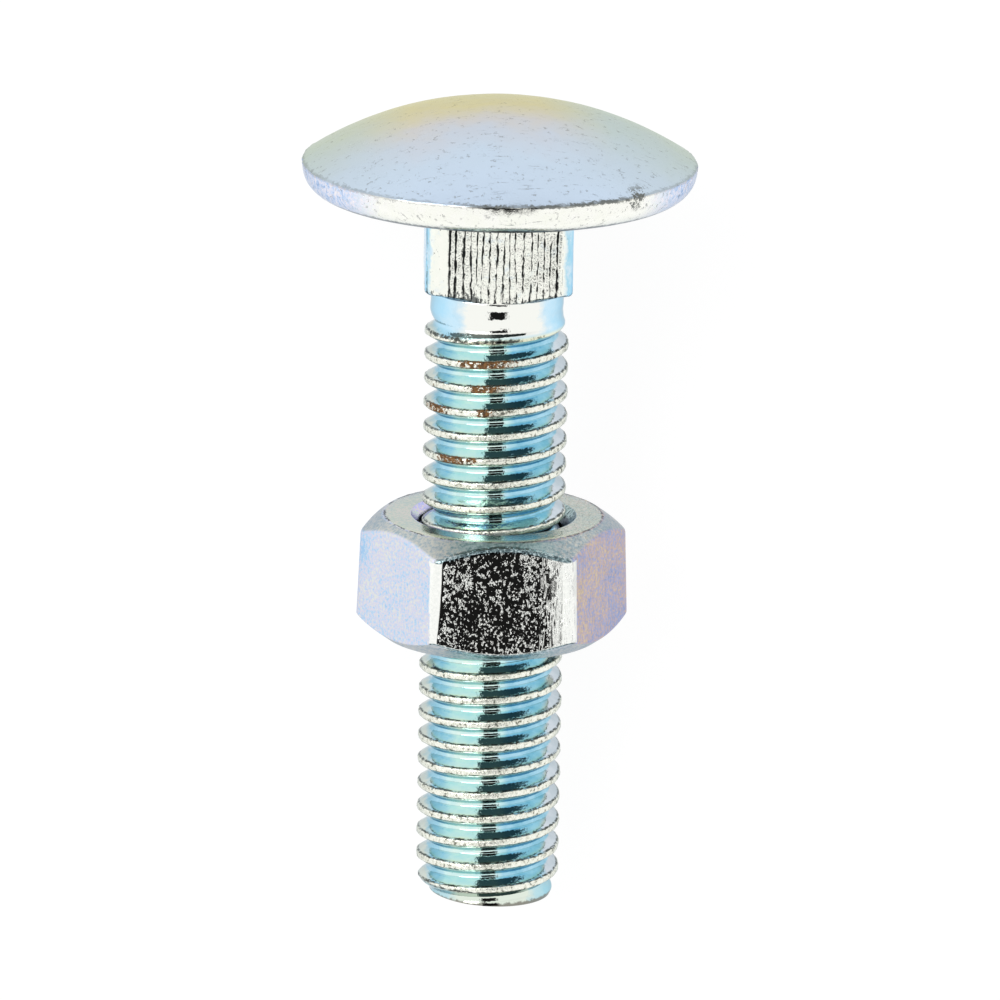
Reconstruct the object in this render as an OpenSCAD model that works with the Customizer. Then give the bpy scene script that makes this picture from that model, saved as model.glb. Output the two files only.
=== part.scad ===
// Carriage bolt with its hexagon nut, lying on its head's rim and on one flat of the nut.
// Each piece is drawn upright on the bolt's own axis, with z = 0 at the underside of the
// head and the tip below it, and is then laid down as a whole.

/* [Head] */
// Diameter of the domed head
head_d = 15.9; // [14:0.1:18]
// Height of the head, from its underside to the top of the dome
head_h = 3.66; // [2.8:0.02:5]
// Height of the rim, from the underside to the edge where the dome starts
rim_h = 1.25; // [1.1:0.05:1.8]
// Rounding of the rim's lower edge
rim_low_r = 0.9; // [0.2:0.05:0.9]
// Rounding of the rim's upper edge
rim_top_r = 0.12; // [0.05:0.01:0.15]

/* [Square neck] */
// Width of the neck across its flats
neck_w = 5.9; // [5.5:0.05:6.5]
// Turn of the neck's flats from the nut's flats, in degrees
neck_turn = -4; // [-45:1:45]
// Rounding of the neck's upright corners
neck_corner_r = 0.65; // [0.2:0.05:0.9]
// Length of the neck under the head
neck_h = 4; // [3:0.1:5]
// Slope of the cone that trims the neck's lower corners, in degrees
neck_trim_angle = 16; // [10:1:40]

/* [Shank and thread] */
// Length of the bolt under its head
shank_l = 29.4; // [26:0.1:40]
// Nominal diameter of the thread, which the rolled crests stay a little under
nominal_d = 6; // [5.98:0.01:6.05]
// Diameter over the thread's crests
thread_d = 5.86; // [5.8:0.01:5.97]
// Rise of the thread in one turn
pitch = 1; // [0.75:0.05:1]
// Diameter of the plain shank, the blank that the thread is rolled on
plain_d = 5.36; // [5.3:0.01:5.5]
// Length of the plain shank between the neck and the thread
plain_l = 1; // [0.5:0.1:3]
// Length over which the thread fades into the plain shank
runout_l = 0.7; // [0.6:0.1:3]
// Diameter of the flat end of the tip
tip_d = 4.9; // [4:0.1:5]
// Length of the bevel that leads the thread in at the tip
tip_l = 0.9; // [0.5:0.1:2]
// Where on the tip the thread starts, in degrees round the axis
thread_start = 179; // [0:1:359]

/* [Nut] */
// Width of the nut across its flats
nut_w = 9.8; // [9:0.1:11]
// Thickness of the nut
nut_h = 4.9; // [4:0.05:6.5]
// Rounding of the nut's upright corners
nut_corner_r = 0.75; // [0.2:0.05:1]
// Diameter of the flat ring on each end of the nut
nut_face_d = 8.9; // [8:0.1:8.9]
// Slope of the bevel at each end of the nut, in degrees
nut_bevel_angle = 36; // [20:1:45]
// Diameter of the countersunk mouth at each end of the nut
mouth_d = 6.7; // [6.4:0.1:7.4]
// Slope of the mouth's wall from the nut's end, in degrees
mouth_angle = 45; // [30:1:60]
// Distance from the underside of the head down to the nut
nut_drop = 13.4; // [9:0.1:15]
// Gap between the crests and the roots of the two threads, all round
thread_fit = 0.09; // [0.06:0.01:0.12]
// Extra gap along the axis on each flank of the thread
flank_fit = 0.04; // [0.02:0.01:0.06]

/* [Hidden] */

// Smoothness of round shapes, and segments in one turn of the thread
$fn = 96;
turn_n = 36;

// Head: the dome is a sphere through its top and through the sharp corner of the rim
head_r = head_d / 2;
dome_rise = head_h - rim_h;
dome_r = (head_r * head_r + dome_rise * dome_rise) / (2 * dome_rise);
dome_z = head_h - dome_r;
low_r = min(rim_low_r, rim_h - 2 * rim_top_r);
// Centre of the upper rounding, and where that rounding touches the dome
edge_x = head_r - rim_top_r;
edge_z = dome_z + sqrt(pow(dome_r - rim_top_r, 2) - edge_x * edge_x);
touch_x = edge_x * dome_r / (dome_r - rim_top_r);

// Thread: flanks at 60 degrees to each other. The crest flat is an eighth of the pitch at the
// nominal diameter, and grows as the crests stay under it
thread_depth = 0.535 * pitch;
crest_r = thread_d / 2;
root_r = crest_r - thread_depth;
crest_w = pitch / 8 + (nominal_d - thread_d) * tan(30);
flank_w = thread_depth * tan(30);
plain_r = plain_d / 2;
thread_z = -neck_h - plain_l;
tip_z = -shank_l;
// Height of the first row of the thread over its flat end
lead_in = 0.1;
// The rolled length starts this far inside the plain shank's surface
roll_step = 0.02;

// Nut
nut_r = nut_w / 2;
nut_face_r = nut_face_d / 2;
nut_low_z = -nut_drop - nut_h;
bevel_slope = tan(nut_bevel_angle);
nut_out_r = nut_r / cos(30) + 1;
mouth_r = mouth_d / 2;
// The nut's thread keeps to the bolt's helix: it starts a whole number of turns up
tap_low_z = tip_z + pitch * (floor((nut_low_z - tip_z) / pitch) - 2);
tap_l = nut_h + 5 * pitch;

// At rest the rounding of the rim and the lower edge of one nut flat touch the ground
rest_z = nut_low_z + (nut_r - nut_face_r) * bevel_slope;
rest_run = low_r - rest_z;
rest_rise = head_r - low_r - nut_r;
tilt = atan2(rest_rise, rest_run) + asin(low_r / norm([rest_rise, rest_run]));
axis_up = nut_r * cos(tilt) - rest_z * sin(tilt);
head_end = dome_z * cos(tilt) + dome_r;
tip_end = tip_z * cos(tilt) - tip_d / 2 * sin(tilt);

module lay_down() {
    translate([0, -(head_end + tip_end) / 2, axis_up]) rotate([tilt - 90, 0, 0]) children();
}

// A rod with one right-hand thread, as a single closed surface. Each row of the helix has the
// four edges of the thread, and edge 4 of a row is edge 0 one turn higher. Near each flat end
// the radius fades to that end's own radius.
module threaded_rod(z_low, z_top, root, crest, crest_flat, end_low, end_top, fade_low, fade_top) {
    foot = crest_flat / 2 + flank_w;
    edges = [[foot - pitch, root], [-foot, root], [-crest_flat / 2, crest], [crest_flat / 2, crest]];
    first_crest = z_low + lead_in + pitch - crest_w / 2 - flank_w;
    rows = turn_n * (floor((z_top - z_low - 2 * lead_in) / pitch) - 1);
    function share(l, fade) = min(1, max(0, l / fade));
    function faded(z, r) =
        let (above = end_low + (r - end_low) * share(z - z_low, fade_low))
        end_top + (above - end_top) * share(z_top - z, fade_top);
    function at(i, z, r) =
        let (angle = thread_start + 360 * i / turn_n) [r * cos(angle), r * sin(angle), z];
    function on_helix(i, e) =
        let (z = first_crest + pitch * i / turn_n + edges[e][0]) at(i, z, faded(z, edges[e][1]));
    points = [
        for (i = [0 : rows]) for (e = [0 : 3]) on_helix(i, e),
        for (i = [rows + 1 : rows + turn_n]) on_helix(i, 0),
        for (i = [0 : turn_n - 1]) at(i, z_low, end_low),
        for (i = [0 : turn_n - 1]) at(i, z_top, end_top)
    ];
    function h(i, e) =
        e == 4 ? h(i + turn_n, 0) : i <= rows ? 4 * i + e : 4 * (rows + 1) + i - rows - 1;
    function low(i) = 4 * (rows + 1) + turn_n + i % turn_n;
    function top(i) = low(i) + turn_n;
    function quad(a, b, c, d) = [[a, b, c], [a, c, d]];
    faces = [
        for (i = [0 : rows - 1]) for (e = [0 : 3])
            each quad(h(i, e), h(i, e + 1), h(i + 1, e + 1), h(i + 1, e)),
        for (i = [0 : turn_n - 2]) each quad(low(i), h(i, 0), h(i + 1, 0), low(i + 1)),
        [low(turn_n - 1), h(turn_n - 1, 0), h(0, 4)],
        for (e = [0 : 3]) [low(turn_n - 1), h(0, e + 1), h(0, e)],
        [low(turn_n - 1), h(0, 0), low(0)],
        [for (i = [0 : turn_n - 1]) low(i)],
        for (i = [1 : turn_n - 1])
            each quad(h(rows + i, 0), top(i), top(i + 1), h(rows + i + 1, 0)),
        [top(1), h(rows + 1, 0), h(rows, 0)],
        for (e = [0 : 3]) [top(1), h(rows, e), h(rows, e + 1)],
        [top(1), h(rows, 4), top(0)],
        [for (i = [turn_n - 1 : -1 : 0]) top(i)]
    ];
    polyhedron(points, faces);
}

module head() {
    rotate_extrude() {
        intersection() {
            translate([0, dome_z]) circle(dome_r, $fn = 720);
            translate([0, low_r]) square([touch_x, head_h]);
        }
        translate([edge_x, edge_z]) circle(rim_top_r);
        translate([0, low_r]) square([head_r, edge_z - low_r]);
        square([head_r - low_r, edge_z]);
        translate([head_r - low_r, low_r]) circle(low_r);
    }
}

module neck() {
    corner = neck_w / 2 - neck_corner_r;
    slope = tan(neck_trim_angle);
    intersection() {
        translate([0, 0, -neck_h]) linear_extrude(neck_h + low_r) {
            square([neck_w, 2 * corner], center = true);
            square([2 * corner, neck_w], center = true);
            for (x = [-corner, corner]) for (y = [-corner, corner])
                translate([x, y]) circle(neck_corner_r);
        }
        rotate_extrude() polygon([
            [0, -neck_h],
            [neck_w / 2, -neck_h],
            [neck_w, -neck_h + neck_w / 2 * slope],
            [neck_w, head_h],
            [0, head_h]
        ]);
    }
}

module plain_shank() {
    translate([0, 0, thread_z]) cylinder(r = plain_r, h = -thread_z + low_r);
}

module bolt() {
    color("#c6d5db") lay_down() {
        head();
        rotate(neck_turn) neck();
        plain_shank();
        threaded_rod(tip_z, thread_z, root_r, crest_r, crest_w,
            tip_d / 2, plain_r - roll_step, tip_l, runout_l);
    }
}

// Hexagon with rounded corners, two flats facing along Y
module rounded_hexagon() {
    corner = (nut_r - nut_corner_r) / cos(30);
    circle(corner, $fn = 6);
    for (turn = [0 : 60 : 300]) {
        rotate(turn + 30) translate([0, -corner / 2]) square([nut_r, corner]);
        rotate(turn) translate([corner, 0]) circle(nut_corner_r);
    }
}

module nut_blank() {
    out_h = (nut_out_r - nut_face_r) * bevel_slope;
    intersection() {
        linear_extrude(nut_h) rounded_hexagon();
        rotate_extrude() polygon([
            [0, 0],
            [nut_face_r, 0],
            [nut_out_r, out_h],
            [nut_out_r, nut_h - out_h],
            [nut_face_r, nut_h],
            [0, nut_h]
        ]);
    }
}

// Cone that sinks the mouth, widening towards the end of the nut at z = 0
module mouth() {
    over = 0.5;
    depth = mouth_r * tan(mouth_angle);
    rise = over / tan(mouth_angle);
    translate([0, 0, -depth]) cylinder(r1 = 0, r2 = mouth_r + rise, h = depth + over);
}

module nut() {
    color("#b9bccb") lay_down() difference() {
        translate([0, 0, nut_low_z]) nut_blank();
        translate([0, 0, -nut_drop]) mouth();
        translate([0, 0, nut_low_z]) mirror([0, 0, 1]) mouth();
        threaded_rod(tap_low_z, tap_low_z + tap_l, root_r + thread_fit, crest_r + thread_fit,
            crest_w + 2 * flank_fit, root_r, root_r, pitch, pitch);
    }
}

bolt();
nut();
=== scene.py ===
import math
import bpy
import bmesh
from mathutils import Matrix, Vector, noise


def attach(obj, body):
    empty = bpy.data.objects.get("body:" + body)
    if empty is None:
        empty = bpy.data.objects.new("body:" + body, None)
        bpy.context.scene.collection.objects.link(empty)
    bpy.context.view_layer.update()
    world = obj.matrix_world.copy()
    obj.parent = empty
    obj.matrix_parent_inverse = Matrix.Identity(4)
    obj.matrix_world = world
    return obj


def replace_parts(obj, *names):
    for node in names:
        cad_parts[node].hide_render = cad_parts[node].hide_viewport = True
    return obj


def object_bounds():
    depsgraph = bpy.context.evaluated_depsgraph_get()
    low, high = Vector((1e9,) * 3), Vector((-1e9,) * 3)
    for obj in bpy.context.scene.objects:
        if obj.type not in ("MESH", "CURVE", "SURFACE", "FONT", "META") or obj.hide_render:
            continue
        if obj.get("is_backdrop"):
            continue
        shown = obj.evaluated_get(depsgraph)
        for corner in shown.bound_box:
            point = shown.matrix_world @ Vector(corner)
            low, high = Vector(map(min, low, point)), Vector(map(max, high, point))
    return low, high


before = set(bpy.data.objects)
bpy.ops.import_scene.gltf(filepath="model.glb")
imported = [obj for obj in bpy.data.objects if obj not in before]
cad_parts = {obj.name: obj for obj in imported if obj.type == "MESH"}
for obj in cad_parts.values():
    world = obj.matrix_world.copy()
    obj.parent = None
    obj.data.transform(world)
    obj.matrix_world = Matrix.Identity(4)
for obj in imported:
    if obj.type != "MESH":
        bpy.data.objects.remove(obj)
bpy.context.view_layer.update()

# The domed head. Low-carbon steel, cold forged from the same wire as the shank, so it has a
# plain dome, a short upright rim with a ragged upper edge, and a flat underside. Each part of
# the bolt is drawn in millimetres on the bolt's own axis, head up, and then laid down.
MM = 0.001
HEAD_R = 7.95
HEAD_H = 3.66
RIM_H = 1.25
RIM_LOW_R = 0.9
RIM_TOP_R = 0.12
RIM_LEAN = 0.13
DOME_RISE = HEAD_H - RIM_H
DOME_R = (HEAD_R ** 2 + DOME_RISE ** 2) / (2 * DOME_RISE)
DOME_Z = HEAD_H - DOME_R
# The bolt lies on its rim and on one flat of the nut, which tilts its axis a little
TILT = math.radians(9.214786)
AXIS_UP = 7.714897
SHIFT = 12.807695
LYING = (Matrix.Translation((0, SHIFT * MM, AXIS_UP * MM))
         @ Matrix.Rotation(TILT - math.pi / 2, 4, "X") @ Matrix.Scale(MM, 4))


def rough(point, size, seed):
    """A smooth random value from -1 to 1 that changes over about that many millimetres."""
    return noise.noise(Vector(point) / size + Vector((seed * 7.3, seed * 3.1, seed * 5.7)))


def faded(distance, reach):
    """1 at no distance, falling evenly to 0 at that reach."""
    return max(0.0, 1 - abs(distance) / reach)


def risen(value, span):
    """0 up to zero, rising evenly to 1 over that span."""
    return min(1.0, max(0.0, value / span))


def arc(x, z, radius, start, end, steps):
    """Points (radius, height) along an arc. Its angles count up from straight outwards."""
    angles = [start + (end - start) * i / steps for i in range(steps + 1)]
    return [(x + radius * math.cos(angle), z + radius * math.sin(angle)) for angle in angles]


def turned(mesh, profile, steps):
    """Turns a profile of (radius, height) points once round the axis into a closed skin."""
    verts = [mesh.verts.new((x, 0, z)) for x, z in profile]
    edges = [mesh.edges.new(pair) for pair in zip(verts, verts[1:])]
    bmesh.ops.spin(mesh, geom=verts + edges, axis=(0, 0, 1), cent=(0, 0, 0), dvec=(0, 0, 0),
                   angle=2 * math.pi, steps=steps, use_merge=True, use_duplicate=False)
    bmesh.ops.remove_doubles(mesh, verts=mesh.verts, dist=1e-5)


def finished(mesh, name, body, material):
    """Lays the finished mesh down with the bolt and makes it a piece that rides on its body."""
    bmesh.ops.recalc_face_normals(mesh, faces=mesh.faces)
    bmesh.ops.transform(mesh, matrix=LYING, verts=mesh.verts)
    for face in mesh.faces:
        face.smooth = True
    data = bpy.data.meshes.new(name)
    mesh.to_mesh(data)
    mesh.free()
    data.set_sharp_from_angle(angle=math.radians(38))
    data.materials.append(material)
    piece = bpy.data.objects.new(name, data)
    bpy.context.collection.objects.link(piece)
    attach(piece, body)
    return piece


class Value:
    """A value that runs from node to node of a finish. Sums on it add the nodes they need."""

    def __init__(self, tree, socket):
        self.tree = tree
        self.socket = socket

    def __add__(self, other):
        return reckoned("ADD", self, other)

    def __sub__(self, other):
        return reckoned("SUBTRACT", self, other)

    def __rsub__(self, other):
        return reckoned("SUBTRACT", other, self)

    def __mul__(self, other):
        return reckoned("MULTIPLY", self, other)

    def __truediv__(self, other):
        return reckoned("DIVIDE", self, other)

    def __abs__(self):
        return reckoned("ABSOLUTE", self)


def tree_of(values):
    """The node tree that the given values belong to; some may be plain colours or numbers."""
    return next(value.tree for value in values if isinstance(value, Value))


def feed(socket, value):
    """Gives a socket a value from another node, a plain colour or a plain number."""
    if isinstance(value, Value):
        value.tree.links.new(value.socket, socket)
    elif isinstance(value, tuple):
        socket.default_value = (*value, 1)
    else:
        socket.default_value = value


def reckoned(operation, *values):
    """One step of arithmetic on values and plain numbers."""
    tree = tree_of(values)
    step = tree.nodes.new("ShaderNodeMath")
    step.operation = operation
    for socket, value in zip(step.inputs, values):
        feed(socket, value)
    return Value(tree, step.outputs["Value"])


def greater(first, second):
    return reckoned("MAXIMUM", first, second)


def lesser(first, second):
    return reckoned("MINIMUM", first, second)


def is_over(value, limit):
    return reckoned("GREATER_THAN", value, limit)


def is_under(value, limit):
    return reckoned("LESS_THAN", value, limit)


def plated(name):
    """A bare zinc-plated metal: its material and shader, and the place on the bolt in mm."""
    material = bpy.data.materials.new(name)
    material.use_nodes = True
    tree = material.node_tree
    shader = tree.nodes["Principled BSDF"]
    shader.inputs["Metallic"].default_value = 1
    where = tree.nodes.new("ShaderNodeTexCoord")
    upright = tree.nodes.new("ShaderNodeMapping")
    upright.vector_type = "TEXTURE"
    upright.inputs["Location"].default_value = (0, SHIFT * MM, AXIS_UP * MM)
    upright.inputs["Rotation"].default_value = (TILT - math.pi / 2, 0, 0)
    upright.inputs["Scale"].default_value = (MM, MM, MM)
    tree.links.new(where.outputs["Object"], upright.inputs["Vector"])
    return material, shader, Value(tree, upright.outputs["Vector"])


def axes_of(place):
    """Splits a place into its distances to the right, to the back and up the axis."""
    split = place.tree.nodes.new("ShaderNodeSeparateXYZ")
    feed(split.inputs["Vector"], place)
    return [Value(place.tree, split.outputs[axis]) for axis in "XYZ"]


def stretched(place, scale):
    """A place scaled along its axes, for patterns that run long or for flattening it."""
    drawn = place.tree.nodes.new("ShaderNodeMapping")
    drawn.inputs["Scale"].default_value = scale
    feed(drawn.inputs["Vector"], place)
    return Value(place.tree, drawn.outputs["Vector"])


def grain(place, scale, detail, roughness, stretch=None):
    """A noise pattern over the metal, its scale in features per millimetre."""
    texture = place.tree.nodes.new("ShaderNodeTexNoise")
    texture.inputs["Scale"].default_value = scale
    texture.inputs["Detail"].default_value = detail
    texture.inputs["Roughness"].default_value = roughness
    feed(texture.inputs["Vector"], stretched(place, stretch) if stretch else place)
    return Value(place.tree, texture.outputs["Fac"])


def graded(value, stops):
    """Turns a value into the colours or levels at the given stops, and blends between them."""
    low, high = stops[0][0], stops[-1][0]
    # A ramp runs from 0 to 1, so stops in millimetres are brought into that range
    if low < 0 or high > 1:
        value = (value - low) / (high - low)
        stops = [((at - low) / (high - low), colour) for at, colour in stops]
    ramp = value.tree.nodes.new("ShaderNodeValToRGB")
    while len(ramp.color_ramp.elements) < len(stops):
        ramp.color_ramp.elements.new(1)
    for element, (position, colour) in zip(ramp.color_ramp.elements, stops):
        element.position = position
        element.color = (*(colour if isinstance(colour, tuple) else (colour,) * 3), 1)
    feed(ramp.inputs["Fac"], value)
    return Value(value.tree, ramp.outputs["Color"])


def blended(amount, first, second, how="MIX"):
    """Mixes two colours by an amount."""
    tree = tree_of((amount, first, second))
    mix = tree.nodes.new("ShaderNodeMix")
    mix.data_type = "RGBA"
    mix.blend_type = how
    for name, value in (("Factor", amount), ("A", first), ("B", second)):
        feed(mix.inputs[name], value)
    return Value(tree, mix.outputs["Result"])


def bumped(shader, layers):
    """Chains bump nodes: each layer is a height and its depth in millimetres."""
    normal = None
    for height, depth in layers:
        bump = height.tree.nodes.new("ShaderNodeBump")
        bump.inputs["Distance"].default_value = depth * MM
        bump.inputs["Strength"].default_value = 1
        feed(bump.inputs["Height"], height)
        if normal:
            feed(bump.inputs["Normal"], normal)
        normal = Value(height.tree, bump.outputs["Normal"])
    feed(shader.inputs["Normal"], normal)


flat_r = HEAD_R - RIM_LOW_R
edge_x = HEAD_R - RIM_TOP_R
edge_z = DOME_Z + math.sqrt((DOME_R - RIM_TOP_R) ** 2 - edge_x ** 2)
slope = math.atan2(edge_z - DOME_Z, edge_x)
lean = math.atan(RIM_LEAN / edge_z)
underside = [(HEAD_R * i / 50, 0.0) for i in range(50) if HEAD_R * i / 50 < flat_r - 0.05]
profile = underside + arc(flat_r, RIM_LOW_R, RIM_LOW_R, -math.pi / 2, 0, 12)
profile = [(x - RIM_LEAN * max(0.0, 1 - z / edge_z), z) for x, z in profile]
profile += arc(edge_x, edge_z, RIM_TOP_R, -lean, slope, 6)
profile += arc(0, DOME_Z, DOME_R, slope, math.pi / 2, 60)[1:]

head = bmesh.new()
turned(head, profile, 320)
# Forging leaves the rim's upper edge ragged and the skin faintly uneven
for v in head.verts:
    out = math.hypot(v.co.x, v.co.y)
    if out < 0.01 or v.co.z < 0.01:
        continue
    near_edge = faded(out - HEAD_R, 0.3) * faded(v.co.z - RIM_H, 0.35)
    ragged = 0.045 * rough(v.co, 0.35, 1) + 0.035 * rough(v.co, 0.12, 2)
    uneven = 0.012 * rough(v.co, 1.6, 3) + 0.006 * rough(v.co, 0.5, 4)
    dent = min(0.0, near_edge * ragged + uneven - 0.012)
    inwards = dent * min(1, out / HEAD_R)
    v.co.x += v.co.x / out * inwards
    v.co.y += v.co.y / out * inwards
    v.co.z += dent * 0.5

head_zinc, shader, place = plated("head_zinc")
x, y, z = axes_of(place)
drift = grain(place, 0.22, 3.0, 0.55)
fine_drift = grain(place, 1.6, 4.0, 0.6)
mottle = grain(place, 5.0, 4.0, 0.7)
# The passivate's tint drifts across the dome: blue in front, then blush, then straw
across = y / 16 + 0.5 + (drift - 0.5) * 0.24 + (fine_drift - 0.5) * 0.06
straw = graded(across, [
    (0.0, (0.6, 0.72, 0.87)), (0.18, (0.59, 0.7, 0.82)), (0.29, (0.62, 0.67, 0.74)),
    (0.35, (0.68, 0.66, 0.63)), (0.41, (0.73, 0.67, 0.48)), (0.5, (0.78, 0.69, 0.34)),
    (0.62, (0.82, 0.73, 0.31)), (0.74, (0.79, 0.72, 0.32)), (0.84, (0.6, 0.7, 0.58)),
    (1.0, (0.62, 0.62, 0.76))])
sage = graded(across, [
    (0.0, (0.6, 0.72, 0.87)), (0.24, (0.57, 0.67, 0.75)), (0.38, (0.58, 0.67, 0.66)),
    (0.58, (0.62, 0.7, 0.54)), (0.8, (0.6, 0.68, 0.5)), (1.0, (0.52, 0.62, 0.76))])
from_left = x / 16 + 0.5
to_right = graded(from_left, [(0.0, 1), (0.14, 0.75), (0.27, 0), (0.6, 0), (0.77, 1)])
dome_tint = blended(to_right, straw, sage)
to_side = abs(x) + (mottle - 0.5) * 3
rim_front = graded(fine_drift, [(0.35, (0.95, 0.96, 0.88)), (0.65, (0.98, 0.98, 0.93))])
rim_side = graded(mottle, [
    (0.34, (0.3, 0.44, 0.72)), (0.46, (0.6, 0.73, 0.94)), (0.55, (0.8, 0.8, 0.92)),
    (0.66, (0.94, 0.9, 0.9))])
rim_tint = blended(graded(to_side, [(5.2, 0), (6.4, 1)]), rim_front, rim_side)
rim_part = is_under(z, RIM_H - 0.03)
# Painted shade: the head's underside and the foot of its rim are painted nearly black, in a ragged
# band
foot = graded(z + (mottle - 0.5) * 0.3, [(0.15, 0.95), (0.24, 0)])
pits = grain(place, 3.6, 4.0, 0.75)
pit_marks = graded(pits, [(0.35, 1), (0.385, 0)])
scratches = grain(place, 3.4, 5.0, 0.8, (0.22, 2.4, 1))
scratch_marks = graded(scratches, [(0.35, 1), (0.38, 0)])
# One stretch of the rim's edge is chipped all over
battered = graded(from_left, [(0.772, 0), (0.792, 0.19), (0.817, 0.19), (0.842, 0)])
chips = graded(grain(place, 2.8, 5.0, 0.8) - battered, [(0.31, 1), (0.34, 0)])
chips = chips * graded(abs(z - (RIM_H - 0.1)), [(0.25, 1), (0.5, 0)])
lip = graded(abs(z - (RIM_H - 0.02) + (mottle - 0.5) * 0.32), [(0.05, 0.95), (0.09, 0)])
lip = lip * graded(from_left, [(0.1, 0.4), (0.34, 0.3), (0.42, 1), (0.78, 1), (0.84, 0.35)])
lip = lip * graded(fine_drift, [(0.36, 0.5), (0.5, 1)])
marks = greater(pit_marks, scratch_marks)
tint = blended(rim_part, dome_tint, rim_tint)
tint = blended(marks * 0.5, tint, (0.26, 0.27, 0.26))
# Chips, the dark line along the rim's upper edge and the painted shade at the rim's foot darken the
# tint together
dark = greater(greater(chips, lip), foot * rim_part)
tint = blended(dark, tint, (0.16, 0.17, 0.16))
feed(shader.inputs["Base Color"], tint)
dull = fine_drift * 0.16 + 0.24 - rim_part * 0.16
feed(shader.inputs["Roughness"], dull + marks * 0.2)
shader.inputs["Specular Tint"].default_value = (0.72, 0.76, 0.82, 1)
skin = grain(place, 7.0, 4.0, 0.65)
bumped(shader, [(skin, 0.008), (1 - marks, 0.008)])
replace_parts(finished(head, "bolt_head", "bolt", head_zinc), "bolt")

# The square neck under the head. It is forged with the head, and the die leaves dirty upright
# scores on its flats. Its front leans in towards the foot, its corners are rounded, one more
# than the others, and a cone trims their lower ends.
NECK_HALF = 2.95
NECK_CORNER_R = 0.5
NECK_WORN_R = 0.95
NECK_H = 4.0
NECK_FOOT_R = 2.6
NECK_TURN = math.radians(-4)
NECK_TRIM = math.tan(math.radians(16))
NECK_LEAN = math.tan(math.radians(4.9))
NECK_ROWS = 60
NECK_INTO_HEAD = 0.6
FRONT_PROUD = 0.07
FOOT_DENT = 0.04
FOOT_WEAR = 0.16


def stored(place, name):
    """The value that the mesh stores for each of its points under that name."""
    attribute = place.tree.nodes.new("ShaderNodeAttribute")
    attribute.attribute_name = name
    return Value(place.tree, attribute.outputs["Fac"])


def rounded_outline(half, corner_r, sides, angle):
    """Distance from the axis out to a rounded regular outline with flats that far away."""
    step = 2 * math.pi / sides
    off = (angle + step / 2) % step - step / 2
    middle = (half - corner_r) * math.tan(step / 2)
    if half * math.tan(abs(off)) <= middle:
        return half / math.cos(off)
    centre = Vector((half - corner_r, middle))
    ray = Vector((math.cos(off), math.sin(abs(off))))
    along = centre.dot(ray)
    return along + math.sqrt(max(0.0, corner_r ** 2 - (centre.length_squared - along ** 2)))


neck = bmesh.new()
over_foot = neck.verts.layers.float.new("over_foot")
ring = bmesh.ops.create_circle(neck, cap_ends=False, segments=480, radius=NECK_FOOT_R)["verts"]
for v in ring:
    v.co.z = -NECK_H
edges = list(neck.edges)
for row in range(NECK_ROWS + 1):
    made = bmesh.ops.extrude_edge_only(neck, edges=edges)["geom"]
    edges = [g for g in made if isinstance(g, bmesh.types.BMEdge)]
    for v in (g for g in made if isinstance(g, bmesh.types.BMVert)):
        angle = math.atan2(v.co.y, v.co.x)
        worn = angle < -math.pi / 2
        reach = rounded_outline(NECK_HALF, NECK_WORN_R if worn else NECK_CORNER_R, 4, angle)
        foot = -NECK_H + max(0.0, reach - NECK_HALF) * NECK_TRIM
        z = foot + (NECK_INTO_HEAD - foot) * row / NECK_ROWS
        v[over_foot] = z - foot
        spot = Vector((math.cos(angle), math.sin(angle), 0)) * NECK_HALF + Vector((0, 0, z))
        # The foot is dented, and its corners are worn round
        reach -= FOOT_DENT * faded(z - foot, 0.35) * max(0.0, rough(spot, 0.22, 8) + 0.1)
        at_corner = risen(reach - 1.04 * NECK_HALF, 0.3)
        reach -= FOOT_WEAR * at_corner * faded(z - foot, 0.18) ** 2
        reach += 0.005 * rough(spot, 0.5, 6)
        # The front stands a little proud at the head and leans in from there
        front = risen(-math.sin(angle) - 0.60, 0.12)
        reach += front * (FRONT_PROUD - NECK_LEAN * NECK_H * risen(-z, NECK_H))
        v.co = Vector((math.cos(angle) * reach, math.sin(angle) * reach, z))
bmesh.ops.holes_fill(neck, edges=neck.edges, sides=0)
bmesh.ops.rotate(neck, cent=(0, 0, 0), matrix=Matrix.Rotation(NECK_TURN, 3, "Z"), verts=neck.verts)

neck_zinc, shader, place = plated("neck_zinc")
x, y, z = axes_of(place)
fine = grain(place, 2.2, 4.0, 0.6)
speck = grain(place, 6.5, 4.0, 0.7, (1, 1, 0.6))
# Place across the flats, in the neck's own turn
to_right = x + y * math.sin(NECK_TURN)
to_back = y - x * math.sin(NECK_TURN)
front = graded(fine, [
    (0.3, (0.84, 0.9, 0.9)), (0.42, (0.94, 0.96, 0.88)), (0.7, (0.98, 0.98, 0.91))])
sides = graded(fine, [
    (0.35, (0.36, 0.68, 0.86)), (0.5, (0.46, 0.73, 0.87)), (0.65, (0.64, 0.8, 0.9))])
to_side = abs(to_right + 0.075) + (fine - 0.5) * 0.6
tint = blended(graded(to_side, [(2.62, 0), (2.76, 1)]), front, sides)
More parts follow.
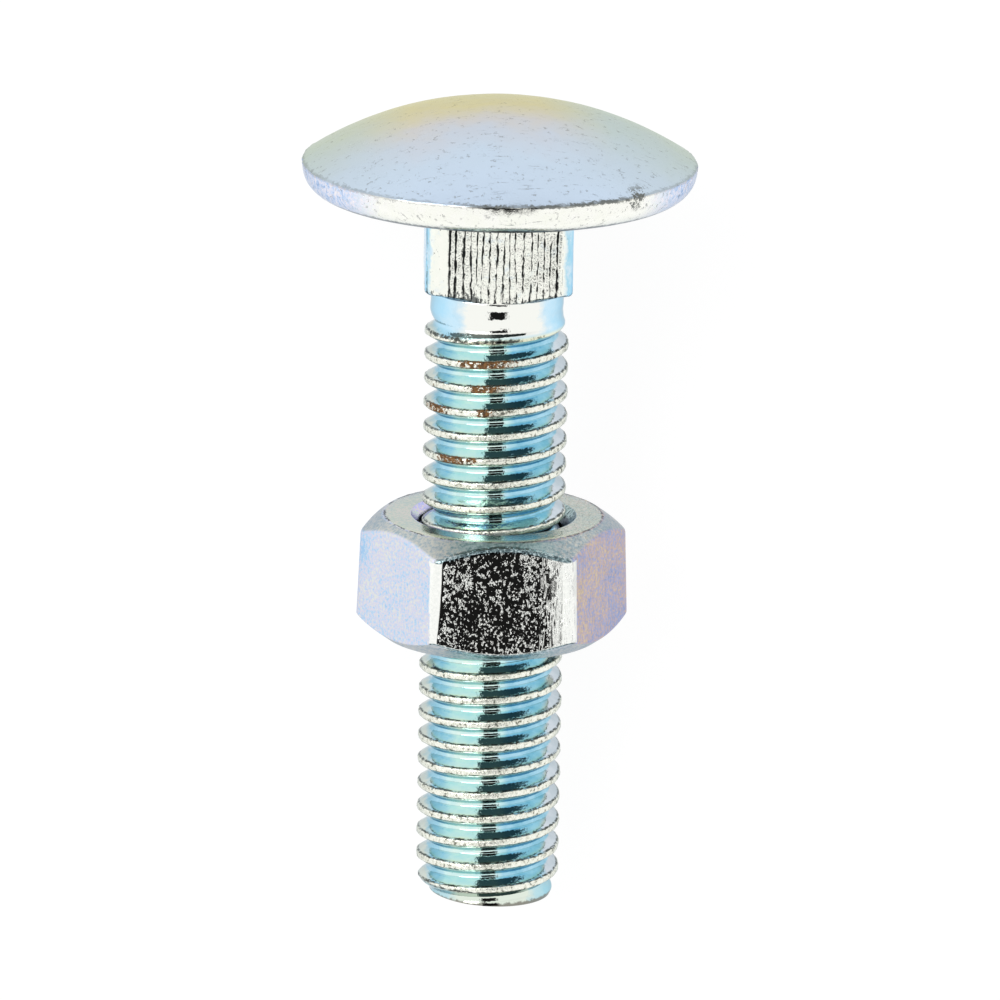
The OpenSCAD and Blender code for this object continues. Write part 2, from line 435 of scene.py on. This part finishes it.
# The die's scores: dirty upright lines about 0.27 mm apart, thick at the left edge of the front
far_right = abs(to_right - 0.22)
far_back = abs(to_back)
on_side = is_over(far_right, far_back)
lateral = on_side * (to_back + 11 - to_right) + to_right
jitter = grain(place, 1.3, 1.0, 0.5, (1, 1, 0.05))
wander = grain(place, 1.6, 2.0, 0.5)
phase = lateral * 3.7 + jitter * 1.7 + wander * 0.15
from_line = abs(reckoned("FRACT", phase) - 0.5)
blotch = grain(place, 8.0, 3.0, 0.7, (1.2, 1.2, 0.3))
from_line = from_line - (blotch - 0.5)
cluster = graded(to_right, [
    (-2.08, 0), (-2.03, 1), (-1.7, 0.9), (-1.4, 0), (2.0, 0), (2.25, 0.8), (2.42, 0.8),
    (2.5, 0)])
from_line = from_line - cluster * 0.1
flat_part = graded(lesser(far_right, far_back), [(2.26, 1), (2.32, 0)])
scores = graded(from_line, [(0.055, 1), (0.12, 0)])
faint = graded(y, [(-2.2, 1), (-1.8, 0.55)])
scores = scores * flat_part * faint
in_scores = flat_part * graded(to_right, [(-2.0, 0.17), (-0.9, 0.17), (-0.5, 0.0)])
# Painted shade: a ragged dark band along the neck's foot, where it steps in to the shank, reaching
# higher on the left of the front flat; the chips are darkened with it
foot_shade = stored(place, "over_foot") + (speck - 0.5) * 1.3 - in_scores
foot = graded(foot_shade, [(0.05, 0.9), (0.11, 0)])
chips = graded(speck, [(0.31, 0.8), (0.35, 0)])
tint = blended(greater(chips, foot), tint, (0.09, 0.1, 0.1))
tint = blended(scores, tint, (0.02, 0.022, 0.022))
feed(shader.inputs["Base Color"], tint)
feed(shader.inputs["Roughness"], fine * 0.12)
shader.inputs["Specular Tint"].default_value = (0.62, 0.80, 0.95, 1)
ridges = graded(from_line, [(0.1, 0), (0.3, 1)])
bumped(shader, [(ridges * flat_part, 0.012), (grain(place, 10.0, 3.0, 0.6), 0.004)])
finished(neck, "bolt_neck", "bolt", neck_zinc)

# The plain shank and the thread. The wire is rolled between flat dies, which press the roots
# in and raise the crests, so the crests are rough and slightly seamed while the flanks and
# roots are burnished. The thread is right-hand and fades into the plain shank at its top.
PITCH = 1.0
CREST_R = 2.93
ROOT_R = CREST_R - 0.535 * PITCH
CREST_W = 0.206
FLANK_W = 0.535 * PITCH * math.tan(math.radians(30))
PLAIN_R = 2.68
THREAD_TOP = -5.0
RUNOUT_L = 0.7
# The plain shank flares towards the neck, and is drawn in and faintly ridged towards the thread
FLARE = 0.036
DRAWN_IN = 0.12
FAINT_RIDGE = 0.10
INSIDE_NECK = 0.3
TIP_Z = -29.4
TIP_R = 2.45
TIP_L = 0.9
TIP_SHIFT = 0.10
TIP_SHEARED = 0.16
TURN_STEPS = 90
START = math.radians(179)
CREST_WEAR = 0.035


def distance(place, centre):
    """How far a place on the bolt is from a point, in mm."""
    away = place.tree.nodes.new("ShaderNodeVectorMath")
    away.operation = "DISTANCE"
    away.inputs[1].default_value = centre
    feed(away.inputs[0], place)
    return Value(place.tree, away.outputs["Value"])


def cut(mesh, height, facing, keep):
    """Cuts a mesh across the axis and keeps what is below or above the cut."""
    whole = list(mesh.verts) + list(mesh.edges) + list(mesh.faces)
    bmesh.ops.bisect_plane(mesh, geom=whole, dist=1e-5, plane_co=(0, 0, height), plane_no=facing,
                           clear_outer=keep == "below", clear_inner=keep == "above")


def thread_profile(root, crest, crest_w, wear):
    """One pitch of the thread, from root to root: (radius, height), its crest at height 0."""
    foot = crest_w / 2 + (crest - root) * math.tan(math.radians(30))
    flat = PITCH - 2 * foot
    half = [(crest - wear * 0.15, 0.0), (crest - wear * 0.15, crest_w * 0.25),
            (crest - wear * 0.35, crest_w * 0.42), (crest - wear, crest_w * 0.58)]
    for i in range(1, 6):
        down = wear + (crest - root - wear) * i / 6
        half.append((crest - down, crest_w / 2 + down * math.tan(math.radians(30))))
    half.append((root + 0.015, foot))
    half.append((root, foot + flat * 0.2))
    half.append((root, foot + flat * 0.5))
    low = [(r, -h) for r, h in reversed(half)]
    return low + half[1:]


def helix(mesh, profile, low_z, top_z):
    """Sweeps one right-hand turn of the profile, and repeats it from under one height to over
    another."""
    begin = low_z - 1.5 * PITCH
    phase = START + 2 * math.pi * (begin - CREST_AT) / PITCH
    facing = mesh.verts.layers.float.new("facing")
    verts = [mesh.verts.new((r * math.cos(phase), r * math.sin(phase), begin + h))
             for r, h in profile]
    for v, (_, h) in zip(verts, profile):
        v[facing] = 0.5 + math.copysign(0.5, h) if h else 0.5
    edges = [mesh.edges.new(pair) for pair in zip(verts, verts[1:])]
    bmesh.ops.spin(mesh, geom=verts + edges, axis=(0, 0, 1), cent=(0, 0, 0),
                   dvec=(0, 0, PITCH / TURN_STEPS), angle=2 * math.pi, steps=TURN_STEPS,
                   use_merge=False, use_duplicate=False)
    turn = list(mesh.verts) + list(mesh.edges) + list(mesh.faces)
    for number in range(1, math.ceil((top_z - low_z) / PITCH) + 3):
        copy = bmesh.ops.duplicate(mesh, geom=turn)["geom"]
        bmesh.ops.translate(mesh, vec=(0, 0, PITCH * number),
                            verts=[g for g in copy if isinstance(g, bmesh.types.BMVert)])
    bmesh.ops.remove_doubles(mesh, verts=mesh.verts, dist=1e-4)


# Height of a crest's middle at the angle START, which both threads share
CREST_AT = TIP_Z + 0.1 + PITCH - CREST_W / 2 - FLANK_W
shank = bmesh.new()
helix(shank, thread_profile(ROOT_R, CREST_R, CREST_W, CREST_WEAR), TIP_Z - 0.2, 0.8)
for v in shank.verts:
    reach = math.hypot(v.co.x, v.co.y)
    crest = max(0.0, (reach - ROOT_R) / (CREST_R - ROOT_R))
    worn = crest ** 3 * (0.026 * rough(v.co, 0.3, 11) + 0.022 * rough(v.co, 0.12, 12) - 0.024)
    new = reach + worn + 0.004 * rough(v.co, 0.35, 13)
    # Share of the thread that is left towards the tip and towards the plain shank
    low = risen(v.co.z - TIP_Z, TIP_L)
    top = max(risen(THREAD_TOP - v.co.z, RUNOUT_L), FAINT_RIDGE * risen(-4.4 - v.co.z, 0.4))
    new = TIP_R + (new - TIP_R) * low
    plain_at = PLAIN_R + FLARE * risen(v.co.z + 4.32, 0.3) - DRAWN_IN * risen(-4.88 - v.co.z, 1)
    # It thins inside the neck, so that it stays behind the neck's leaning front
    plain_at -= INSIDE_NECK * risen(v.co.z + NECK_H + 0.04, 0.5)
    new = plain_at + (new - plain_at) * top
    v.co.x *= new / reach
    v.co.y *= new / reach
    # The bevelled tip sits a little to one side
    v.co.x += TIP_SHIFT * (1 - low)
    if crest > 0 and top > 0:
        v.co.z += crest * 0.012 * rough(v.co, 0.5, 14)
cut(shank, 0.5, (0, 0, 1), "below")
cut(shank, TIP_Z, (0, 0, 1), "above")
bmesh.ops.holes_fill(shank, edges=shank.edges, sides=0)
# The end was sheared a little out of square
cut(shank, TIP_Z + TIP_SHEARED, (0.03, -0.01, 1), "above")
bmesh.ops.holes_fill(shank, edges=shank.edges, sides=0)

thread_zinc, shader, place = plated("thread_zinc")
x, y, z = axes_of(place)
reach = distance(stretched(place, (1, 1, 0)), (0, 0, 0))
uneven = grain(place, 6.0, 4.0, 0.7)
fine = grain(place, 12.0, 3.0, 0.6)
cloud = grain(place, 1.3, 3.0, 0.6, (1, 1, 1.6))
out = reach + (uneven - 0.5) * 0.12
depth = (out - ROOT_R) / (CREST_R - ROOT_R)
on_crest = graded(depth, [(0.84, 0), (0.9, 1)])
on_flank = graded(depth, [(0.1, 0), (0.22, 1)])
lip = graded(depth, [(0.72, 0), (0.78, 1), (0.87, 1), (0.91, 0)])
sided = stored(place, "facing")
to_middle = graded(abs(x + 0.8) + (cloud - 0.5) * 1.4, [(0.88, 0), (1.36, 1)])
ice = graded(cloud, [(0.35, (0.6, 0.86, 0.86)), (0.65, (0.78, 0.94, 0.87))])
sky = graded(cloud, [(0.35, (0.24, 0.54, 0.7)), (0.65, (0.42, 0.7, 0.85))])
root_tint = blended(to_middle, ice, sky)
flank_left = graded(cloud, [(0.35, (0.64, 0.69, 0.62)), (0.65, (0.72, 0.77, 0.7))])
flank_right = graded(cloud, [(0.35, (0.58, 0.66, 0.72)), (0.65, (0.68, 0.74, 0.8))])
upper = blended(graded(x, [(-1.0, 0), (1.5, 1)]), flank_left, flank_right)
outer = graded(abs(x + 0.2) + (cloud - 0.5) * 0.6, [(2.16, 0), (2.44, 1)])
upper = blended(outer, root_tint, upper)
under = graded(depth, [
    (0.1, (0.66, 0.86, 0.9)), (0.5, (0.76, 0.88, 0.86)), (0.72, (0.84, 0.86, 0.66))])
flank = blended(sided, under, upper)
tint = blended(on_flank, root_tint, flank)
plain = graded(abs(x) + (cloud - 0.5) * 1.2, [
    (1.44, (0.93, 0.94, 0.89)), (1.84, (0.62, 0.82, 0.94)), (2.48, (0.46, 0.76, 0.95))])
above = graded(z, [(-5.44, 0), (-5.28, 1)])
tint = blended(above, tint, plain)
tip_tint = blended(1.0, plain, (0.82, 0.89, 0.83), "MULTIPLY")
at_tip = graded(z, [(-28.75, 1), (-28.55, 0)])
tint = blended(at_tip, tint, tip_tint)
crest_tint = graded(uneven, [
    (0.37, (0.2, 0.2, 0.16)), (0.43, (0.8, 0.81, 0.7)), (0.6, (0.96, 0.97, 0.88))])
tint = blended(on_crest, tint, crest_tint)
gaps = graded(grain(place, 4.0, 4.0, 0.7), [(0.48, 1), (0.58, 0.15)])
tint = blended(lip * gaps, tint, (0.08, 0.09, 0.08))
# A dirty line runs round the sheared end
end_line = graded(z - TIP_Z + (uneven - 0.8) * 0.3, [(0.12, 0.9), (0.2, 0)])
tint = blended(end_line, tint, (0.22, 0.21, 0.18))
# Rust has started in patches on the upper crests: centre and reach of each, in mm
rust = grain(place, 0.8, 2.0, 0.5) * 4 - 2.75
for centre, size in (((-0.70, -2.80, -6.45), 1.30), ((-0.70, -2.80, -7.45), 0.80),
                     ((-2.55, -1.40, -8.53), 0.85), ((-0.72, -2.81, -8.48), 0.42),
                     ((-2.00, -2.10, -10.53), 0.80), ((-1.16, -2.66, -10.47), 0.25)):
    rust = greater(rust, 1 - distance(place, centre) / size)
rust_fleck = grain(place, 8.0, 4.0, 0.7)
rust = lesser(rust, 0.5) + (rust_fleck - 0.5) * 3.2
near_top = graded(z, [(-12.9, 0), (-12.0, 1), (-6.0, 1), (-5.4, 0)])
rust_on = graded(depth, [(0.74, 0), (0.8, 1)])
rust = graded(rust, [(0.2, 0), (0.36, 1)]) * near_top * rust_on
rust_tint = graded(uneven, [(0.4, (0.08, 0.04, 0.015)), (0.6, (0.26, 0.125, 0.04))])
tint = blended(rust, tint, rust_tint)
feed(shader.inputs["Base Color"], tint)
rubbed = on_crest * 0.17 + 0.015
feed(shader.inputs["Roughness"], greater(rubbed, rust * 0.8))
feed(shader.inputs["Metallic"], 1 - rust * 0.9)
shader.inputs["Specular Tint"].default_value = (0.70, 0.74, 0.76, 1)
bumped(shader, [(fine * on_crest, 0.03), (grain(place, 7.0, 2.0, 0.6), 0.0075)])
finished(shank, "bolt_shank", "bolt", thread_zinc)

# The hexagon nut. Cold forged steel, tapped after forging, with a bevel at both ends and a
# countersunk mouth where the thread starts. It sits on the bolt's thread and can screw along it.
NUT_HALF = 4.9
NUT_CORNER_R = 0.75
NUT_TOP = -13.4
NUT_LOW = -18.3
NUT_FACE_R = 4.45
NUT_BEVEL = math.tan(math.radians(36))
MOUTH_R = 3.35
THREAD_FIT = 0.09
FLANK_FIT = 0.04
TAP_WEAR = 0.02
# The skin over the blank starts at this ring, between the mouth and the edge of the end
FACE_RING = 3.45
SIDE_ROWS = 48
NUT_EDGE = 0.14
NUT_LOW_EDGE = 0.05
# Forging leaves the nut a little narrower at its top, and one corner sharper at its foot
NUT_LEAN = 0.12
SHARPER = 0.38

nut = bmesh.new()
tap = thread_profile(ROOT_R + THREAD_FIT, CREST_R + THREAD_FIT, CREST_W + 2 * FLANK_FIT, TAP_WEAR)
helix(nut, tap, NUT_LOW - 0.2, NUT_TOP + 0.2)
# The countersunk mouths: the thread's surface is pushed out to a 45 degree cone at each end
for v in nut.verts:
    reach = math.hypot(v.co.x, v.co.y)
    mouth = MOUTH_R - min(NUT_TOP - v.co.z, v.co.z - NUT_LOW)
    if reach < mouth:
        new = min(mouth, MOUTH_R)
        v.co.x *= new / reach
        v.co.y *= new / reach
cut(nut, NUT_TOP, (0, 0, 1), "below")
cut(nut, NUT_LOW, (0, 0, 1), "above")
open_edges = [e for e in nut.edges if e.is_boundary]
corner_part = nut.verts.layers.float.new("corner")
bevel_part = nut.verts.layers.float.new("bevel")
shaded_edge = nut.verts.layers.float.new("edge")
blank = bmesh.ops.create_circle(nut, cap_ends=False, segments=480, radius=FACE_RING)["verts"]
for v in blank:
    v.co.z = NUT_TOP
edges = list({e for v in blank for e in v.link_edges})
top_ring = list(edges)
steps = [("end", 0.0), ("end", 0.5), ("end", 1.0)]
steps += [("bevel", i / 6) for i in range(1, 6)]
steps += [("edge", i / 6) for i in range(6)]
steps += [("side", i / SIDE_ROWS) for i in range(SIDE_ROWS + 1)]
steps += [("low edge", i / 4) for i in range(1, 4)]
steps += [("under", i / 4) for i in range(5)]
steps += [("foot", 0.0), ("foot", 1.0)]
for kind, share in steps:
    made = bmesh.ops.extrude_edge_only(nut, edges=edges)["geom"]
    edges = [g for g in made if isinstance(g, bmesh.types.BMEdge)]
    for v in (g for g in made if isinstance(g, bmesh.types.BMVert)):
        angle = math.atan2(v.co.y, v.co.x)
        turn = angle % (math.pi / 3) - math.pi / 6
        flat_no = math.floor(angle / (math.pi / 3))
        # Share of the way from the top down to the foot
        down = share if kind == "side" else float(kind in ("low edge", "under", "foot"))
        at_sharp_corner = abs(angle + 2 * math.pi / 3) < 0.5
        corner_r = NUT_CORNER_R - (SHARPER * down ** 2 if at_sharp_corner else 0.0)
        side = rounded_outline(NUT_HALF, corner_r, 6, angle - math.pi / 6) - NUT_LEAN * (1 - down)
        lateral = NUT_HALF * math.tan(turn)
        flat_half = (NUT_HALF - corner_r) * math.tan(math.pi / 6)
        # Each flat is a little crowned
        side -= 0.003 * min(lateral ** 2, flat_half ** 2)
        side -= 0.05 * max(0.0, min(abs(lateral), flat_half) - 1.7) ** 2
        bevel = max(0.0, side - NUT_FACE_R) * NUT_BEVEL
        last = NUT_LOW_EDGE if kind in ("low edge", "under") else NUT_EDGE
        last *= math.cos(math.atan(NUT_BEVEL))
        wear = 0.5 + 0.5 * rough((lateral, flat_no * 5, 0), 0.4, 21)
        v[corner_part] = float(kind == "side" and abs(lateral) > flat_half + 0.02)
        v[bevel_part] = faded(share, 0.5) if kind == "edge" else float(kind in ("bevel", "under"))
        # Marks the rounded edges between the flats and their bevels, which the finish paints dark as
        # shade
        v[shaded_edge] = float(kind == "low edge" or kind == "edge" and share > 0.1)
        if kind == "end":
            reach, z = FACE_RING + (NUT_FACE_R - FACE_RING) * share, NUT_TOP
            if share == 1:
                reach -= 0.05 * wear
        elif kind == "bevel":
            reach = NUT_FACE_R + (side - last - NUT_FACE_R) * share
            z = NUT_TOP - (reach - NUT_FACE_R) * NUT_BEVEL
            z -= 0.008 * rough((angle * 4, reach, 0), 0.5, 22)
        elif kind == "edge":
            # The bevel turns into the flat by a soft, slightly uneven edge
            soft = NUT_EDGE * (1 + 0.25 * rough((lateral, flat_no * 5, 0), 0.25, 24))
            reach = side - last * (1 - share) ** 2
            z = NUT_TOP - bevel + last * NUT_BEVEL * (1 - share) ** 2 - soft * share ** 2
        elif kind == "side":
            # The drawn bar left faint upright marks on the flats
            top, low = NUT_TOP - bevel - NUT_EDGE, NUT_LOW + bevel + NUT_LOW_EDGE
            z = top + share * (low - top)
            drawn = 0.001 + 0.003 * risen(lateral - 0.4, 1.4)
            mark = noise.noise(Vector((lateral / 0.12, z / 3, flat_no * 3.7)))
            reach = side - drawn * max(0.0, mark)
            reach += 0.004 * rough((lateral, flat_no * 5, z), 0.7, 23)
        elif kind == "low edge":
            reach = side - last * share ** 2
            z = NUT_LOW + bevel + NUT_LOW_EDGE * (1 - share) ** 2 - last * NUT_BEVEL * share ** 2
        elif kind == "under":
            reach = side - last + (NUT_FACE_R - side + last) * share
            z = NUT_LOW + (reach - NUT_FACE_R) * NUT_BEVEL
        else:
            reach, z = NUT_FACE_R + (FACE_RING - NUT_FACE_R) * share, NUT_LOW
        v.co = Vector((math.cos(angle) * reach, math.sin(angle) * reach, z))
for height, ring in ((NUT_TOP, top_ring), (NUT_LOW, edges)):
    mouth_edges = [e for e in open_edges if e.is_valid and abs(e.verts[0].co.z - height) < 1e-3]
    bmesh.ops.bridge_loops(nut, edges=mouth_edges + ring)

nut_zinc, shader, place = plated("nut_zinc")
x, y, z = axes_of(place)
reach = distance(stretched(place, (1, 1, 0)), (0, 0, 0))
corner = stored(place, "corner")
bevel = stored(place, "bevel")
edge = stored(place, "edge")
drift = grain(place, 0.5, 3.0, 0.55)
mottle = grain(place, 8.0, 4.0, 0.7)
speck = grain(place, 8.0, 3.0, 0.7, (1, 1, 0.8))
patch = grain(place, 0.9, 2.0, 0.5)
streak = grain(place, 7.0, 3.0, 0.6, (1, 1, 0.16))
# The side flats keep the thick blue and pink passivate; the front and back ones are burnished
fleck = grain(place, 8.0, 3.0, 0.75)
mixed = drift * 0.6 + 0.2 + (fleck - 0.5) * 1.5
blue_film = graded(mixed, [
    (0.3, (0.4, 0.62, 0.86)), (0.4, (0.54, 0.74, 0.88)), (0.47, (0.66, 0.7, 0.85)),
    (0.56, (0.72, 0.68, 0.82)), (0.66, (0.76, 0.8, 0.76))])
pink_film = graded(mixed, [
    (0.3, (0.34, 0.42, 0.66)), (0.42, (0.5, 0.48, 0.62)), (0.5, (0.56, 0.48, 0.54)),
    (0.58, (0.66, 0.5, 0.44)), (0.7, (0.72, 0.62, 0.42))])
on_right = graded(x, [(-1.0, 0), (1.0, 1)])
film = blended(on_right, blue_film, pink_film)
polished = graded(abs(y), [(4.55, 0), (4.65, 1)])
bare = graded(mottle, [(0.35, (0.86, 0.88, 0.84)), (0.6, (0.95, 0.96, 0.92))])
tint = blended(polished, film, bare)
rubbed = corner * is_under(abs(x), 4.2)
rubbed_tint = graded(mottle, [(0.35, (0.88, 0.9, 0.86)), (0.6, (0.97, 0.98, 0.94))])
tint = blended(rubbed, tint, rubbed_tint)
bevel_tint = graded(mixed, [
    (0.33, (0.36, 0.46, 0.5)), (0.5, (0.52, 0.57, 0.58)), (0.67, (0.66, 0.66, 0.6))])
front_bevel = graded(mottle, [
    (0.38, (0.22, 0.37, 0.38)), (0.5, (0.42, 0.58, 0.59)), (0.62, (0.6, 0.74, 0.74))])
over_front = graded(abs(x) + (mottle - 0.5) * 2.4, [(1.44, 1), (2.4, 0)])
bevel_tint = blended(over_front, bevel_tint, front_bevel)
tint = blended(bevel, tint, bevel_tint)
# Painted shade: the rounded edges where the front and back flats meet their bevels are painted dark
# in ragged patches
edge_shade_tint = graded(mottle, [
    (0.42, (0.06, 0.09, 0.1)), (0.54, (0.24, 0.34, 0.36)), (0.62, (0.62, 0.72, 0.74))])
tint = blended(edge * polished, tint, edge_shade_tint)
out = reach + (mottle - 0.5) * 0.24
in_end = graded(out, [(3.3, 0), (3.35, 1), (4.375, 1), (4.425, 0)])
end_tint = graded(mixed, [
    (0.35, (0.56, 0.66, 0.56)), (0.5, (0.68, 0.72, 0.56)), (0.65, (0.76, 0.72, 0.6))])
from_middle = abs(z - (NUT_TOP + NUT_LOW) / 2)
is_end = is_over(from_middle, (NUT_TOP - NUT_LOW) / 2 - 0.03)
tint = blended(in_end * is_end, tint, end_tint)
mouth_tint = graded(mixed, [
    (0.35, (0.5, 0.56, 0.9)), (0.47, (0.74, 0.6, 0.84)), (0.56, (0.78, 0.78, 0.66)),
    (0.68, (0.6, 0.74, 0.7))])
mouth_tint = blended(on_right, mouth_tint, (0.42, 0.54, 0.52))
in_mouth = is_under(reach, MOUTH_R + 0.02)
tint = blended(in_mouth, tint, mouth_tint)
# Painted shade: the threaded bore is painted nearly black from just inside the mouth
bore_shade = graded(out, [(3.02, 1), (3.1, 0)])
tint = blended(bore_shade, tint, (0.1, 0.12, 0.12))
edge_line = graded(out, [(4.34, 0), (4.38, 1), (4.42, 1), (4.46, 0)])
broken = graded(grain(place, 2.0, 4.0, 0.7), [(0.46, 1), (0.55, 0.05)])
edge_line = edge_line * broken * is_over(from_middle, 2.3)
tint = blended(edge_line, tint, (0.1, 0.1, 0.08))
feed(shader.inputs["Base Color"], tint)
satin = mottle * 0.25 + 0.3
glossy = mottle * 0.04
dull = satin + (glossy - satin) * polished
on_end = greater(in_end * is_end, in_mouth)
dull = dull + (mottle * 0.16 + 0.06 - dull) * on_end
feed(shader.inputs["Roughness"], dull)
shader.inputs["Specular Tint"].default_value = (0.70, 0.72, 0.82, 1)
grains = graded(speck + (patch - 0.5) * 0.3, [(0.582, 0), (0.632, 1)])
grains = grains * polished * (1 - corner)
right_part = graded(x, [(1.4, 0), (2.4, 1)])
scored = graded(streak, [(0.51, 0), (0.6, 1)]) * right_part
faint = mottle * (1 - polished * 0.6)
bumped(shader, [(grains, 0.035), (scored, 0.03), (faint, 0.006)])
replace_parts(finished(nut, "nut_body", "nut", nut_zinc), "nut")

# The studio: a pale floor that shows white and keeps the bolt's soft shadow, and a light tent
# with bright sides and a dark gap over the bolt, where the photographer stands.


def of_ray(tree, name):
    """What is known of a ray of light, such as whether it goes to the camera."""
    path = tree.nodes.new("ShaderNodeLightPath")
    return Value(tree, path.outputs[name])


floor_mesh = bmesh.new()
bmesh.ops.create_grid(floor_mesh, x_segments=2, y_segments=2, size=3)
floor_data = bpy.data.meshes.new("floor")
floor_mesh.to_mesh(floor_data)
floor_mesh.free()
floor = bpy.data.objects.new("floor", floor_data)
bpy.context.collection.objects.link(floor)
paper = bpy.data.materials.new("paper")
paper.use_nodes = True
tree = paper.node_tree
paint = tree.nodes["Principled BSDF"]
paint.inputs["Base Color"].default_value = (0.9, 0.9, 0.9, 1)
paint.inputs["Roughness"].default_value = 0.9
paint.inputs["Specular IOR Level"].default_value = 0
glow = tree.nodes.new("ShaderNodeEmission")
glow.inputs["Strength"].default_value = 1.06
both = tree.nodes.new("ShaderNodeMixShader")
feed(both.inputs["Fac"], greater(of_ray(tree, "Is Camera Ray"), of_ray(tree, "Is Glossy Ray")) * 0.85)
tree.links.new(paint.outputs["BSDF"], both.inputs[1])
tree.links.new(glow.outputs["Emission"], both.inputs[2])
tree.links.new(both.outputs["Shader"], tree.nodes["Material Output"].inputs["Surface"])
floor_data.materials.append(paper)
floor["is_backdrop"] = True

world = bpy.data.worlds.new("light_tent")
bpy.context.scene.world = world
world.use_nodes = True
tree = world.node_tree
toward = tree.nodes.new("ShaderNodeTexCoord")
turn = tree.nodes.new("ShaderNodeMapping")
turn.vector_type = "TEXTURE"
turn.inputs["Rotation"].default_value = (TILT - math.pi / 2, 0, 0)
tree.links.new(toward.outputs["Generated"], turn.inputs["Vector"])
x, y, z = axes_of(Value(tree, turn.outputs["Vector"]))
# Angle round the bolt's axis in turns, 0.5 on the side that faces up, and height along it
around = reckoned("ARCTAN2", x, y * -1) / (2 * math.pi) + 0.5
gap = graded(around, [(0.444, 0), (0.452, 1), (0.528, 1), (0.536, 0)])
gap_height = graded(z, [(-0.364, 0), (-0.348, 1), (0.38, 1), (0.46, 0)])
low_gap = graded(around, [(0.42, 0), (0.428, 1), (0.72, 1), (0.73, 0)])
low_height = graded(z, [(-1.0, 1), (-0.43, 1), (-0.39, 0)])
# The lower gap is dark only in light that has come by way of a second metal face
second = is_over(of_ray(tree, "Glossy Depth"), 1.5)
low_dark = second * low_gap * low_height
past_head = graded(z, [(0.5, 1), (0.86, 0.82)])
lit = blended(low_dark, past_head, (0.045, 0.07, 0.075))
lit = blended(gap * gap_height, lit, (0.01, 0.01, 0.01))
shown = blended(of_ray(tree, "Is Camera Ray"), lit, (1.0, 1.0, 1.0))
feed(tree.nodes["Background"].inputs["Color"], shown)

key_data = bpy.data.lights.new("key", "AREA")
key_data.shape = "RECTANGLE"
key_data.size = 0.5
key_data.size_y = 0.5
key_data.energy = 2.2
key = bpy.data.objects.new("key", key_data)
key.location = (-0.55, 0.25, 0.6)
key.rotation_euler = (Vector((0, 0, 0.008)) - key.location).to_track_quat("-Z", "Y").to_euler()
bpy.context.collection.objects.link(key)

# The camera looks down on the lying bolt from the side that the photograph shows
camera_data = bpy.data.cameras.new("camera")
camera_data.lens = 356.1
camera_data.clip_start = 0.01
camera_data.clip_end = 10
camera = bpy.data.objects.new("camera", camera_data)
bpy.context.collection.objects.link(camera)
CAMERA_UP = math.radians(15.2)
ROLL = math.radians(1.06)
AIM_X = 0.255
AIM_Z = -12.82
CAMERA_AWAY = 400
BOLT_TURN = math.radians(5.5)
forward = Vector((0, math.cos(CAMERA_UP), -math.sin(CAMERA_UP)))
right = Vector((1, 0, 0))
up = right.cross(forward)
axis_x = math.cos(ROLL) * right + math.sin(ROLL) * up
axis_y = -math.sin(ROLL) * right + math.cos(ROLL) * up
stand = Vector((AIM_X, 0, AIM_Z)) - CAMERA_AWAY * forward
pose = Matrix((axis_x, axis_y, -forward)).transposed().to_4x4()
pose.translation = stand
pose = LYING @ Matrix.Rotation(-BOLT_TURN, 4, "Z") @ pose
place_at, turn_to, _ = pose.decompose()
camera.location = place_at
camera.rotation_euler = turn_to.to_euler()
bpy.context.scene.camera = camera
bpy.context.scene.view_settings.view_transform = "Standard"

low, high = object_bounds()
